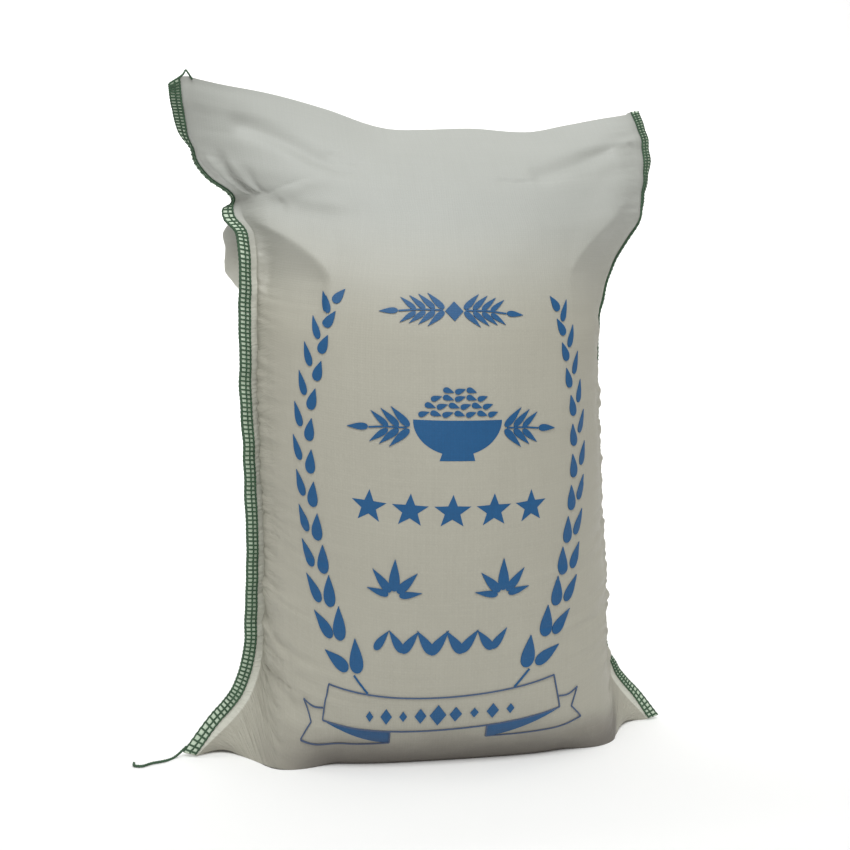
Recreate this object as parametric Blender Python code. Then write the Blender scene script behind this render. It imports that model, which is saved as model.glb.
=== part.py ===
"""Filled rice sack of woven cloth, standing on its folded bottom, its mouth closed and leaning back.

The cloth is a flat tube: a front panel and a back panel that share two side seams, the fold under
the foot and the mouth. A place on a panel is given by two numbers. u runs across, from -1 at the
left seam to 1 at the right seam, and v runs up the cloth, from 0 at the bottom fold to 1 at the
hem. Past each seam a fin of loose cloth sticks out, and an overlock of thread wraps its edge.

Metres, +Z up, the front facing -Y. The origin is on the floor, under the middle of the foot.
"""

import math

import bmesh
import bpy
import numpy as np
from mathutils import Vector

# Cloth and thread
UP = 0.80                  # length of the cloth from the bottom fold to the hem
FIN_WIDTH = 0.018          # loose cloth past a side seam
EAR_FIN_WIDTH = 0.0115     # the same at the lower corners, where it is trimmed off
HALF_CLOTH = 0.001         # half the thickness of the two layers together
BAND_WIDTH = 0.010         # how far an overlock reaches in from the fin's edge
BAND_THICKNESS = 0.0009    # thread on each face of the fin
BAND_GAP = 0.0006          # between the thread and the cloth it wraps
CHAIN_RADIUS = 0.0012      # the twisted chain of thread that is left at a seam's end
GAP = 0.0003               # kept between pieces that touch
EAR_END = 0.010            # how much further than its seam the edge of a lower corner reaches down

# Lines that the cloth runs through, as stations: v, then x, y and z
FRONT_MIDDLE = [
    (0.000, 0.000, 0.000, -0.004),   # the fold, pressed flat on the floor
    (0.110, 0.000, -0.086, -0.002),  # where the foot leaves the floor
    (0.155, 0.000, -0.109, 0.025),
    (0.210, 0.001, -0.121, 0.066),
    (0.310, 0.003, -0.124, 0.146),   # the fullest level
    (0.450, 0.005, -0.120, 0.258),
    (0.580, 0.007, -0.110, 0.362),
    (0.665, 0.008, -0.098, 0.430),
    (0.700, 0.008, -0.090, 0.457),   # the shoulder
    (0.780, 0.008, -0.062, 0.514),
    (0.880, 0.008, -0.028, 0.578),   # the crease under the flat mouth
    (1.000, 0.004, 0.030, 0.645),    # the hem
]
BACK_MIDDLE = [
    (0.000, 0.000, 0.000, -0.004),
    (0.105, 0.000, 0.078, -0.002),
    (0.150, 0.000, 0.098, 0.024),
    (0.200, 0.001, 0.107, 0.062),
    (0.310, 0.003, 0.112, 0.150),
    (0.450, 0.005, 0.109, 0.262),
    (0.580, 0.007, 0.101, 0.366),
    (0.680, 0.008, 0.086, 0.445),
    (0.780, 0.009, 0.042, 0.522),
    (0.850, 0.008, -0.006, 0.563),
    (0.880, 0.008, -0.018, 0.579),   # the crease, where the back turns into the mouth
    (0.920, 0.008, -0.006, 0.600),
    (1.000, 0.004, 0.034, 0.645),
]
LEFT_SEAM = [
    (0.000, -0.2385, -0.042, 0.001),  # the lower corner, an ear that lies out on the floor
    (0.085, -0.1895, -0.031, 0.051),
    (0.180, -0.1740, -0.021, 0.118),
    (0.310, -0.1740, -0.020, 0.207),
    (0.500, -0.1800, -0.020, 0.343),
    (0.700, -0.1820, -0.020, 0.487),
    (0.735, -0.1840, -0.016, 0.512),
    (0.765, -0.1950, -0.006, 0.533),
    (0.797, -0.1990, -0.003, 0.554),  # the kink where the neck is gathered
    (0.832, -0.2263, -0.009, 0.574),
    (0.851, -0.2366, -0.014, 0.585),
    (0.875, -0.2410, -0.019, 0.598),
    (0.920, -0.2430, -0.030, 0.621),
    (1.000, -0.2465, -0.045, 0.657),  # the upper corner
]
RIGHT_SEAM = [
    (0.000, 0.240, -0.002, 0.001),
    (0.080, 0.204, 0.003, 0.043),
    (0.170, 0.192, 0.012, 0.096),
    (0.290, 0.193, 0.018, 0.173),
    (0.430, 0.190, 0.020, 0.280),
    (0.560, 0.186, 0.020, 0.372),
    (0.660, 0.190, 0.020, 0.447),
    (0.720, 0.202, 0.016, 0.495),
    (0.800, 0.235, 0.009, 0.560),
    (0.840, 0.235, 0.006, 0.585),
    (0.930, 0.230, 0.006, 0.632),
    (1.000, 0.219, 0.010, 0.665),
]

# How round a level is: v, then the arc in degrees from the panel's middle to its seam
ROUNDNESS = [(0.00, 70), (0.10, 78), (0.30, 85), (0.60, 84), (0.70, 76), (0.80, 45), (0.88, 15), (1.00, 12)]

# Where a fin points: v, then degrees turned back from straight out
LEFT_FIN_TURN = [
    (0.00, 10), (0.15, -15), (0.30, -30), (0.70, -30), (0.77, -12), (0.80, 5), (0.83, 75), (0.865, 75),
    (0.90, 35), (0.94, 15), (1.00, 0),
]
RIGHT_FIN_TURN = [(0.00, 10), (0.10, 40), (0.20, 60), (0.80, 60), (0.90, 25), (1.00, 20)]

# The foot: levels between which the section changes from square and flat to round
FOOT_TOP = 0.10
FOOT_BLEND = 0.36
SQUARE_CORNER = 3.2
FLAT_SOLE = 4.2

# The dart that runs in from the seam under each side of the neck. Its upper edge is a sharp ridge, under
# it a facet looks down, and a soft lip follows. Side, inner end (u and v), how much higher the ridge is at
# the seam and how the ridge bends, how much higher the facet's foot is there, how steep the facet is, and
# the share of the way to the seam from which the dart fades out.
DARTS = [(-1, 0.50, 0.689, 0.0725, 0.50, 0.008, 0.50, 0.66), (1, 0.54, 0.714, 0.1250, 0.80, 0.005, 0.27, 0.50)]
DART_LIP = 0.080           # v over which the cloth comes out again below a dart
DART_BROW = 0.080          # v over which it swells above the ridge
DART_SWELL = 0.35          # share of a dart's depth by which the ridge stands out
DART_DROP = 0.15           # how far the cloth goes down for each metre that it goes in

# The left shoulder of the back stands out past the seam, to the side and backwards
POUCH_SIDEWAYS = 0.052
POUCH_BACKWARDS = 0.024
POUCH_LEVEL = 0.722        # v of its middle
POUCH_HEIGHT = 0.062
POUCH_SQUARE = 4           # how suddenly it ends above and below
POUCH_INNER = 0.35         # share of the way to the seam where it begins
POUCH_FULL = 0.80          # the same where it is fullest

# The full lower corners of the front, which swell forward and down to the floor: side and size
HEELS = [(-1, 0.032), (1, 0.021)]
HEEL_INNER = 0.45          # share of the way to the seam where a corner begins
HEEL_FULL = 0.84           # the same where it is fullest
HEEL_LEVEL = 0.10          # v where it is fullest
HEEL_TOP = 0.20            # v where it ends

# Grid: columns of each panel, and rows in each stretch of the cloth (v from, v to, rows)
COLUMNS = 34
CROWDING = 0.45            # how much closer together the columns are near the seams
ROW_STRETCHES = [(0.008, 0.09, 4), (0.09, 0.17, 8), (0.17, 0.66, 12), (0.66, 0.88, 22), (0.88, 1.0, 6)]
WELD = 0.00002             # vertices closer than this are made one
SHARP_ANGLE = 40           # degrees between faces from which an edge is shaded sharp

# The thread that hangs on after the left overlock's last stitch, lying on the floor
CHAIN_ROUTE = [(-0.2590, -0.0430), (-0.2680, -0.0530), (-0.2790, -0.0575), (-0.2890, -0.0645),
               (-0.2945, -0.0620), (-0.2960, -0.0540)]
CHAIN_STEP = 0.0055        # between the points of its tube
TUFT_HEIGHT = 0.010        # the loop of thread that stands up from the left overlock's upper end
TUFT_STEP = 0.003          # between the points of its tube

STEEPEST = 2.5             # slope of a line at a station, as a share of the flatter line beside it


def smooth(low, high, value):
    """0 below low, 1 above high, an even ramp between."""
    share = np.clip((value - low) / (high - low), 0, 1)
    return share * share * (3 - 2 * share)


def mix(first, second, share):
    return first * (1 - share) + second * share


def slopes_through(knots, points, swing):
    """The slope at each station. Without swing, the curve never passes beyond a station."""
    steps = np.diff(knots)[:, None]
    chords = np.diff(points, axis=0) / steps
    slopes = np.concatenate([chords[:1], chords])
    before, after = chords[:-1], chords[1:]
    middle = (before * steps[1:] + after * steps[:-1]) / (steps[1:] + steps[:-1])
    limit = STEEPEST * np.minimum(np.abs(before), np.abs(after))
    held = np.where(before * after > 0, np.clip(middle, -limit, limit), 0)
    slopes[1:-1] = middle if swing else held
    return slopes


def track(stations, at, swing=False):
    """A smooth curve through stations, read at one value or at an array of them."""
    table = np.array(stations, dtype=float)
    knots, points = table[:, 0], table[:, 1:]
    steps = np.diff(knots)
    slopes = slopes_through(knots, points, swing)
    at = np.clip(at, knots[0], knots[-1])
    index = np.clip(np.searchsorted(knots, at, side="right") - 1, 0, len(knots) - 2)
    step = steps[index][..., None]
    share = (at - knots[index])[..., None] / step
    rise = smooth(0, 1, share)
    leave = share * (1 - share) ** 2 * step * slopes[index]
    arrive = share ** 2 * (1 - share) * step * slopes[index + 1]
    return mix(points[index], points[index + 1], rise) + leave - arrive


def seam(v, side):
    """The line where front and back are sewn together, on the left (-1) or the right (1)."""
    return track(LEFT_SEAM if side < 0 else RIGHT_SEAM, v)


def unit(vectors):
    return vectors / np.linalg.norm(vectors, axis=-1, keepdims=True)


def fin_frame(v, side):
    """Up the seam, out along the fin, and the fin's normal on the front face."""
    near = 0.001
    up = unit(seam(np.minimum(v + near, 1), side) - seam(np.maximum(v - near, 0), side))
    turn = np.radians(track(LEFT_FIN_TURN if side < 0 else RIGHT_FIN_TURN, v)[..., 0])
    out = np.stack([side * np.cos(turn), np.sin(turn), np.zeros_like(turn)], axis=-1)
    out = unit(out - up * (out * up).sum(axis=-1, keepdims=True))
    return up, out, side * np.cross(out, up)


def dart(u, v, side, tip_u, tip_v, rise, bend, foot_rise, steepness, fade):
    """How far a dart goes in here: a sharp ridge above, a facet under it, then a soft lip."""
    out = np.clip((side * u - tip_u) / (1 - tip_u), 0, 1)
    ridge = tip_v + rise * out ** bend
    foot = tip_v + foot_rise * out
    height = ridge - foot + 1e-6
    facet = np.sin(np.clip((ridge - v) / height, 0, 1) * math.pi / 2)
    lip = 1 - smooth(0, 1, (foot - v) / DART_LIP)
    brow = DART_SWELL * (1 - smooth(0, 1, (v - ridge) / DART_BROW))
    return steepness * UP * height * (facet - brow) * lip * (1 - smooth(fade, 1, out))


def pouch(u, v):
    """Share of its size that the bulge in the back's left shoulder has here."""
    level = np.exp(-((v - POUCH_LEVEL) / POUCH_HEIGHT) ** POUCH_SQUARE)
    return level * smooth(POUCH_INNER, POUCH_FULL, -u) * (1 - smooth(POUCH_FULL, 1, -u))


def heel(u, v, side):
    """Share of its size that the swelling of a lower corner has here."""
    across = smooth(HEEL_INNER, HEEL_FULL, side * u) * (1 - smooth(HEEL_FULL, 1, side * u))
    return across * smooth(0, HEEL_LEVEL, v) * (1 - smooth(HEEL_LEVEL, HEEL_TOP, v))


def panel(u, v, middle):
    """Points of a bare panel that hangs between both seams, with its middle on the given line."""
    out = np.abs(u)
    centre = track(middle, v)
    edge = np.where((u < 0)[..., None], seam(v, -1), seam(v, 1))
    arc = np.radians(track(ROUNDNESS, v)[..., 0])
    across = np.sin(out * arc) / np.sin(arc)
    bulge = (np.cos(out * arc) - np.cos(arc)) / (1 - np.cos(arc))
    foot = 1 - smooth(FOOT_TOP, FOOT_BLEND, v)
    depth = mix(bulge, 1 - out ** SQUARE_CORNER, foot)
    level = mix(bulge, 1 - out ** FLAT_SOLE, foot)
    shares = np.stack([1 - across, depth, level], axis=-1)
    return mix(edge, centre, shares)


def front(u, v):
    points = panel(u, v, FRONT_MIDDLE)
    for shape in DARTS:
        dip = dart(u, v, *shape)
        points[..., 1] += dip
        points[..., 2] -= DART_DROP * dip
    for side, size in HEELS:
        points[..., 1:] -= (size * heel(u, v, side))[..., None]
    return points


def back(u, v):
    points = panel(u, v, BACK_MIDDLE)
    share = pouch(u, v)
    points[..., 0] -= POUCH_SIDEWAYS * share
    points[..., 1] += POUCH_BACKWARDS * share
    return points


def outside(points, u, v, face, half):
    """A panel moved out by half the cloth's thickness: along Y, and along the fin's normal near a seam."""
    near_seam = (np.abs(u) ** 4)[..., None]
    left, right = fin_frame(v, -1)[2], fin_frame(v, 1)[2]
    normal = np.where((u < 0)[..., None], left, right)
    ahead = np.array([0.0, -1.0, 0.0])
    points = points + face * half * mix(ahead, normal, near_seam)
    points[..., 2] = np.maximum(points[..., 2], 0)
    return points


def fin_point(v, side, inset, height):
    """A point of a fin, at a distance in from its edge and off its middle."""
    up, out, normal = fin_frame(v, side)
    ear = 1 - smooth(0, 0.05, v)
    reach = mix(FIN_WIDTH, EAR_FIN_WIDTH, ear) - inset
    slide = EAR_END * ear * reach / FIN_WIDTH
    return seam(v, side) + reach[..., None] * out + height * normal - slide[..., None] * up


def fin_faces(v, side, half):
    """Four columns round a fin: where the thread begins and the edge, on the face met first, then back."""
    turns = [(BAND_WIDTH, side), (0, side), (0, -side), (BAND_WIDTH, -side)]
    points = np.concatenate([fin_point(v, side, inset, face * half) for inset, face in turns], axis=1)
    points[..., 2] = np.maximum(points[..., 2], 0)
    return points


def grid_object(name, points):
    """A flat grid moved to the given points (rows, columns, 3), whose meeting edges are welded."""
    rows, columns = points.shape[:2]
    mesh = bmesh.new()
    bmesh.ops.create_grid(mesh, x_segments=columns - 1, y_segments=rows - 1, size=1)
    for vertex in mesh.verts:
        column = round((vertex.co.x + 1) / 2 * (columns - 1))
        row = round((vertex.co.y + 1) / 2 * (rows - 1))
        vertex.co = Vector(points[row, column])
    bmesh.ops.remove_doubles(mesh, verts=mesh.verts, dist=WELD)
    open_edges = [edge for edge in mesh.edges if edge.is_boundary]
    bmesh.ops.holes_fill(mesh, edges=open_edges, sides=0)
    bmesh.ops.recalc_face_normals(mesh, faces=mesh.faces)
    if mesh.calc_volume(signed=True) < 0:
        bmesh.ops.reverse_faces(mesh, faces=mesh.faces)
    data = bpy.data.meshes.new(name)
    mesh.to_mesh(data)
    mesh.free()
    data.shade_smooth()
    data.set_sharp_from_angle(angle=math.radians(SHARP_ANGLE))
    return bpy.data.objects.new(name, data)


def spaced_columns():
    """u across a panel, closer together near the seams, where the cloth turns most."""
    even = np.linspace(-1, 1, COLUMNS + 1)
    return mix(even, np.sin(even * math.pi / 2), CROWDING)


def spaced_rows():
    stretches = [np.linspace(low, high, rows, endpoint=False) for low, high, rows in ROW_STRETCHES]
    return np.concatenate(stretches + [[1.0]])


def make_sack():
    """The filled cloth: one tube whose first and last rows close on the fold and on the hem."""
    rows = spaced_rows()
    v = np.concatenate([[0.0], rows, [1.0]])[:, None]
    half = np.full((len(v), 1, 1), HALF_CLOTH)
    half[0] = half[-1] = 0
    u = spaced_columns()[None, :] + 0 * v
    levels = v + 0 * u
    forward = outside(front(u, levels), u, levels, 1, half)
    backward = outside(back(u, levels), u, levels, -1, half)
    backward[-1] = forward[-1] = (forward[-1] + backward[-1]) / 2
    ring = [forward, fin_faces(v, 1, half), backward[:, ::-1], fin_faces(v, -1, half), forward[:, :1]]
    return grid_object("sack", np.concatenate(ring, axis=1))


def make_band(name, side):
    """An overlock: thread that wraps a fin's edge, as a U that keeps a gap to the cloth."""
    inner = HALF_CLOTH + BAND_GAP
    outer = inner + BAND_THICKNESS
    web = BAND_GAP + BAND_THICKNESS
    section = [(BAND_WIDTH, inner), (-BAND_GAP, inner), (-BAND_GAP, -inner), (BAND_WIDTH, -inner),
               (BAND_WIDTH, -outer), (-web, -outer), (-web, outer), (BAND_WIDTH, outer)]
    v = spaced_rows()
    corners = [fin_point(v, side, inset, side * rise) for inset, rise in section + section[:1]]
    return grid_object(name, np.stack(corners, axis=1))


def smooth_route(points, step):
    """Evenly spaced points on a smooth curve through a route's own points."""
    points = np.array(points, dtype=float)
    reach = np.concatenate([[0], np.cumsum(np.linalg.norm(np.diff(points, axis=0), axis=1))])
    count = math.ceil(reach[-1] / step)
    return track(np.column_stack([reach, points]), np.linspace(0, reach[-1], count + 1), swing=True)


def tube(name, points, radius):
    """A round tube with closed ends along the points, as a curve."""
    curve = bpy.data.curves.new(name, "CURVE")
    curve.dimensions = "3D"
    curve.bevel_depth = radius
    curve.bevel_resolution = 2
    curve.use_fill_caps = True
    spline = curve.splines.new("POLY")
    spline.points.add(len(points) - 1)
    for spot, place in zip(spline.points, points):
        spot.co = (*place, 1)
    return bpy.data.objects.new(name, curve)


def as_mesh(item):
    """A curve object made a welded mesh object of the same name."""
    name = item.name
    bpy.context.scene.collection.objects.link(item)
    evaluated = item.evaluated_get(bpy.context.evaluated_depsgraph_get())
    data = bpy.data.meshes.new_from_object(evaluated)
    bpy.data.objects.remove(item)
    mesh = bmesh.new()
    mesh.from_mesh(data)
    bmesh.ops.remove_doubles(mesh, verts=mesh.verts, dist=WELD)
    mesh.to_mesh(data)
    mesh.free()
    return bpy.data.objects.new(name, data)


def make_tuft():
    """The loop of thread at the left overlock's upper end, which the band is joined to."""
    v = np.array(1.0)
    up = fin_frame(v, -1)[0]
    outer = fin_point(v, -1, -CHAIN_RADIUS - GAP, 0)
    inner = fin_point(v, -1, BAND_WIDTH + 0.004, 0)
    route = [outer - 0.002 * up, outer + 0.002 * up, mix(outer, inner, 0.7) + TUFT_HEIGHT * up,
             inner + 0.4 * TUFT_HEIGHT * up]
    return as_mesh(tube("tuft", smooth_route(route, TUFT_STEP), CHAIN_RADIUS))


def join_solids(target, other):
    """The other solid is made one with the target."""
    union = target.modifiers.new("union", "BOOLEAN")
    union.operation = "UNION"
    union.object = other
    other.hide_render = True
    other.display_type = "WIRE"


def make_chain():
    """The loose end of the left overlock's thread: down from the last stitch, then along the floor."""
    v = np.array(ROW_STRETCHES[0][0])
    up, out, normal = fin_frame(v, -1)
    start = fin_point(v, -1, -CHAIN_RADIUS - GAP, 0) - GAP * up
    on_floor = [(x, y, CHAIN_RADIUS + GAP) for x, y in CHAIN_ROUTE]
    route = [start, start - 0.004 * up + 0.001 * normal] + on_floor
    return tube("thread_chain", smooth_route(route, CHAIN_STEP), CHAIN_RADIUS)


def material(name, colour, roughness):
    item = bpy.data.materials.new(name)
    item.use_nodes = True
    shader = item.node_tree.nodes["Principled BSDF"]
    shader.inputs["Base Color"].default_value = (*colour, 1)
    shader.inputs["Roughness"].default_value = roughness
    shader.inputs["Metallic"].default_value = 0
    return item


def collect(name, items):
    group = bpy.data.collections.new(name)
    bpy.context.scene.collection.children.link(group)
    for item in items:
        group.objects.link(item)


def main():
    for item in list(bpy.data.objects):
        bpy.data.objects.remove(item)
    sack = make_sack()
    left_band = make_band("left_overlock", -1)
    right_band = make_band("right_overlock", 1)
    chain = make_chain()
    tuft = make_tuft()
    join_solids(left_band, tuft)
    sack.data.materials.append(material("woven_cloth", (0.66, 0.65, 0.58), 0.6))
    thread = material("green_and_white_thread", (0.22, 0.34, 0.25), 0.8)
    for item in (left_band, right_band, chain):
        item.data.materials.append(thread)
    collect("rice_sack", [sack, left_band, right_band, chain])
    collect("helpers", [tuft])


main()
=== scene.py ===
# %% [markdown]
# # A filled rice sack, dressed over its solid
# The sack is a flat tube of woven plastic tape, 50 by 80 cm, sewn shut at the bottom, filled with
# 25 kg of rice and stood on its folded foot. The frame holds its plain solid. This lesson lays the
# real cloth over it: folds, puckers, weave, blue print, overlocked seams and the loose thread at
# the lower left corner. Everything is in metres, +Z is up and the printed front looks along -Y.

# %% Load the frame
import math

import bpy
import numpy as np
from mathutils import Matrix


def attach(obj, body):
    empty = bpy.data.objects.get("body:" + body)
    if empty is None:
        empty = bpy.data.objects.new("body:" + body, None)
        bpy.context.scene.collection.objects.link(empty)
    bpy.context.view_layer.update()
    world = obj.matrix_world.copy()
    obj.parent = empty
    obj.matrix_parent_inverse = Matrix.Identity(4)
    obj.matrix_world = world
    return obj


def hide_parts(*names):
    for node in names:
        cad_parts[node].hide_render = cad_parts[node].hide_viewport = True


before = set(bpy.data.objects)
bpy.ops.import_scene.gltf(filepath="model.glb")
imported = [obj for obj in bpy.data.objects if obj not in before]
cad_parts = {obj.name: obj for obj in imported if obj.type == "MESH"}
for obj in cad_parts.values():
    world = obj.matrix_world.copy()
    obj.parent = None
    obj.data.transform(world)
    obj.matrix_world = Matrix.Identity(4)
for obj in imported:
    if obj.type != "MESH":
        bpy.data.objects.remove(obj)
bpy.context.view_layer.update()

# %% [markdown]
# ## The room
# The camera stands where the photographer stood: level, a third of a metre up, a metre away and ten
# degrees to the left. A pale floor that curves up into a backdrop gives an even ground. One large
# soft light hangs above and before the sack, so that the leaning top is bright and the upright
# front is a step darker. A second one lights the backdrop only.

# %% Camera
CAMERA_PLACE = (-0.1888, -1.0360, 0.3220)
CAMERA_TURN = (90, 0, -10)  # degrees: level, and turned a little to the right
LENS = 42.35               # mm, which gives the photograph's perspective

bpy.ops.object.camera_add(
    location=CAMERA_PLACE, rotation=[math.radians(angle) for angle in CAMERA_TURN])
camera = bpy.context.object
camera.name = "camera"
camera.data.lens = LENS
camera.data.dof.use_dof = False
bpy.context.scene.camera = camera
bpy.context.scene.view_settings.view_transform = "Standard"


# %% Helpers that select one piece and work on its mesh
def pick(*pieces):
    """Selects these pieces and nothing else; the first one is active."""
    bpy.ops.object.select_all(action="DESELECT")
    for piece in pieces:
        piece.select_set(True)
    bpy.context.view_layer.objects.active = pieces[0]


def edit(piece):
    """Edit mode with the whole mesh selected."""
    pick(piece)
    bpy.ops.object.mode_set(mode="EDIT")
    bpy.ops.mesh.select_all(action="SELECT")


def done():
    bpy.ops.object.mode_set(mode="OBJECT")


# %% Floor and backdrop
FLOOR_SIZE = 7.0
CORNER_ROUND, CORNER_STEPS = 1.5, 16  # of the bend between floor and backdrop
FLOOR_GREY = 0.94

bpy.ops.object.select_all(action="DESELECT")
bpy.ops.mesh.primitive_plane_add(size=FLOOR_SIZE, location=(0, 0, 0))
floor = bpy.context.object
floor.name = "floor"
bpy.ops.object.mode_set(mode="EDIT")
bpy.ops.mesh.select_mode(type="EDGE")
bpy.ops.mesh.select_all(action="DESELECT")
done()
for edge in floor.data.edges:
    edge.select = all(floor.data.vertices[index].co.y > 0 for index in edge.vertices)
bpy.ops.object.mode_set(mode="EDIT")
bpy.ops.mesh.extrude_region_move(TRANSFORM_OT_translate={"value": (0, 0, FLOOR_SIZE / 2)})
done()
for edge in floor.data.edges:
    ends = [floor.data.vertices[index].co for index in edge.vertices]
    edge.select = all(end.y > 0 and end.z < 0.01 for end in ends)
bpy.ops.object.mode_set(mode="EDIT")
bpy.ops.mesh.bevel(offset=CORNER_ROUND, segments=CORNER_STEPS)
bpy.ops.mesh.select_mode(type="VERT")
done()
bpy.ops.object.shade_smooth()
floor_paint = bpy.data.materials.new("pale_floor")
floor_paint.use_nodes = True
floor_shader = floor_paint.node_tree.nodes["Principled BSDF"]
floor_shader.inputs["Base Color"].default_value = (FLOOR_GREY, FLOOR_GREY, FLOOR_GREY, 1)
floor_shader.inputs["Roughness"].default_value = 0.9
floor.data.materials.append(floor_paint)
print("floor and backdrop:", len(floor.data.polygons), "faces")

# %% Lights
ROOM_LIGHT = 0.46          # strength of the light from all round

world = bpy.data.worlds.new("pale_room")
bpy.context.scene.world = world
world.use_nodes = True
world.node_tree.nodes["Background"].inputs["Color"].default_value = (1.0, 0.98, 0.94, 1)
world.node_tree.nodes["Background"].inputs["Strength"].default_value = ROOM_LIGHT


def soft_light(name, place, turn, size, power):
    """A rectangle that shines; turn is in degrees, size in metres, power in watts."""
    bpy.ops.object.light_add(
        type="AREA", location=place, rotation=[math.radians(angle) for angle in turn])
    light = bpy.context.object
    light.name = name
    light.data.shape = "RECTANGLE"
    light.data.size, light.data.size_y = size
    light.data.energy = power
    return light


key_light = soft_light("key_light", (-0.15, -1.15, 2.10), (34, 0, -7), (1.6, 1.2), 36)
key_light.data.color = (0.97, 0.99, 1.0)
soft_light("backdrop_light", (0.0, 0.8, 2.4), (62, 0, 0), (5.0, 1.6), 110)

# %% [markdown]
# ## Shader maths in Python
# A finish is a tree of nodes. A wire stands for one output of a node, and arithmetic on wires adds
# Math nodes, so a pattern reads as a formula. Every other node comes from one method.


# %% Wires and finishes
class Wire:
    """One output of a node. Arithmetic on it adds Math nodes."""

    def __init__(self, finish, socket):
        self.finish = finish
        self.socket = socket

    def maths(self, operation, first, second=0.0):
        return self.finish.node("ShaderNodeMath", {"operation": operation}, {0: first, 1: second})

    def __add__(self, other):
        return self.maths("ADD", self, other)

    def __sub__(self, other):
        return self.maths("SUBTRACT", self, other)

    def __rsub__(self, other):
        return self.maths("SUBTRACT", other, self)

    def __mul__(self, other):
        return self.maths("MULTIPLY", self, other)

    def __pow__(self, other):
        return self.maths("POWER", self, other)

    def __abs__(self):
        return self.maths("ABSOLUTE", self)

    def __gt__(self, other):
        return self.maths("GREATER_THAN", self, other)

    __radd__ = __add__
    __rmul__ = __mul__


class Finish:
    """A material that is being put together."""

    def __init__(self, name, roughness):
        self.material = bpy.data.materials.new(name)
        self.material.use_nodes = True
        self.tree = self.material.node_tree
        self.shader = self.tree.nodes["Principled BSDF"]
        self.shader.inputs["Roughness"].default_value = roughness

    def plug(self, value, socket):
        if isinstance(value, Wire):
            self.tree.links.new(value.socket, socket)
        else:
            socket.default_value = value

    def node(self, kind, settings, inputs, output=0):
        item = self.tree.nodes.new(kind)
        for name, value in settings.items():
            setattr(item, name, value)
        for name, value in inputs.items():
            self.plug(value, item.inputs[name])
        return Wire(self, item.outputs[output])

    def flat_cloth(self):
        """Across and up on the cloth laid flat, in metres: the piece's own UV map."""
        spot = self.node("ShaderNodeUVMap", {"uv_map": "flat_cloth"}, {})
        return [self.node("ShaderNodeSeparateXYZ", {}, {0: spot}, output) for output in (0, 1)]

    def vector(self, x, y, z=0.0):
        return self.node("ShaderNodeCombineXYZ", {}, {0: x, 1: y, 2: z})

    def noise(self, vector, scale, detail=2.0):
        inputs = {"Vector": vector, "Scale": scale, "Detail": detail}
        return self.node("ShaderNodeTexNoise", {}, inputs)

    def blend(self, share, first, second):
        """Two colours mixed: a Mix node takes them at sockets 6 and 7 and gives the result at 2."""
        return self.node("ShaderNodeMix", {"data_type": "RGBA"}, {0: share, 6: first, 7: second}, 2)

    def ramp(self, value, low, high):
        """0 at low, 1 at high, smooth between; low may be the larger one."""
        settings = {"interpolation_type": "SMOOTHSTEP"}
        return self.node("ShaderNodeMapRange", settings, {0: value, 1: low, 2: high})

    def bump(self, height, distance, strength, below=None):
        inputs = {"Height": height, "Distance": distance, "Strength": strength}
        if below is not None:
            inputs["Normal"] = below
        return self.node("ShaderNodeBump", {}, inputs)

    def colour(self, value):
        self.plug(value, self.shader.inputs["Base Color"])

    def normal(self, value):
        self.plug(value, self.shader.inputs["Normal"])


def linear(red, green, blue):
    """A colour as a paint chart gives it, 0 to 255, as the linear one that a shader works with."""
    shares = [value / 255 for value in (red, green, blue)]
    lit = [
        (share + 0.055) ** 2.4 / 1.055 ** 2.4 if share > 0.04 else share / 12.92
        for share in shares]
    return (*lit, 1)


# %% [markdown]
# ## Woven plastic tape
# The cloth is a plain weave of flat tapes 2.5 mm wide. Where the tape that runs up is on top the
# surface is round across it, and where the other is on top it is round the other way. Single tapes
# are a little lighter or darker along their whole length, and painted shade darkens each tape where
# it dips down. The tape lets light through: over the rice the cloth looks warm, and where the sack
# is empty it looks cool, with a painted highlight as a pale lip beside the filled part's seams.
# Below the neck the rice presses grains into it from inside, and the finest wrinkles run in from the
# seams.
# The foot is painted darker, partly as dirt and partly as painted shade. The ink shares the weave,
# so one function makes all finishes.

# %% Cloth and ink
TAPE = 0.0025              # width of one tape
TAPE_ROUND = 0.6           # power that flattens a tape's round top
TAPE_DIP = 0.4             # how far a tape goes down before it passes under the next one
TAPE_EVEN = 0.03           # how fast its tone changes along it, compared with across it
TONES = (0.55, 0.30, 0.15)  # shares of tapes, patches and the weave's painted shade in the cloth's light and dark
GRAIN = 0.0075             # length of a grain of rice
GRAIN_SLIM = 1.6           # how many times longer than wide it is
FILLED = (0.05, 0.52)      # heights on the flat cloth between which rice presses from inside
FILLED_FADE = 0.1
EMPTY = (0.50, 0.66)       # heights between which the rice behind the cloth comes to an end
LIP = (0.2360, 0.2385)     # distances from the middle over which a painted highlight makes the cloth pale beside a seam
LIP_ENDS = (0.52, 0.60)    # heights on the flat cloth over which it turns back
# Painted highlight: the cloth beside the seams is painted paler, to lift the shade that falls there
LIP_HIGHLIGHT, LIP_HIGHLIGHT_SHARE = linear(212, 213, 202), 0.7
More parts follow.
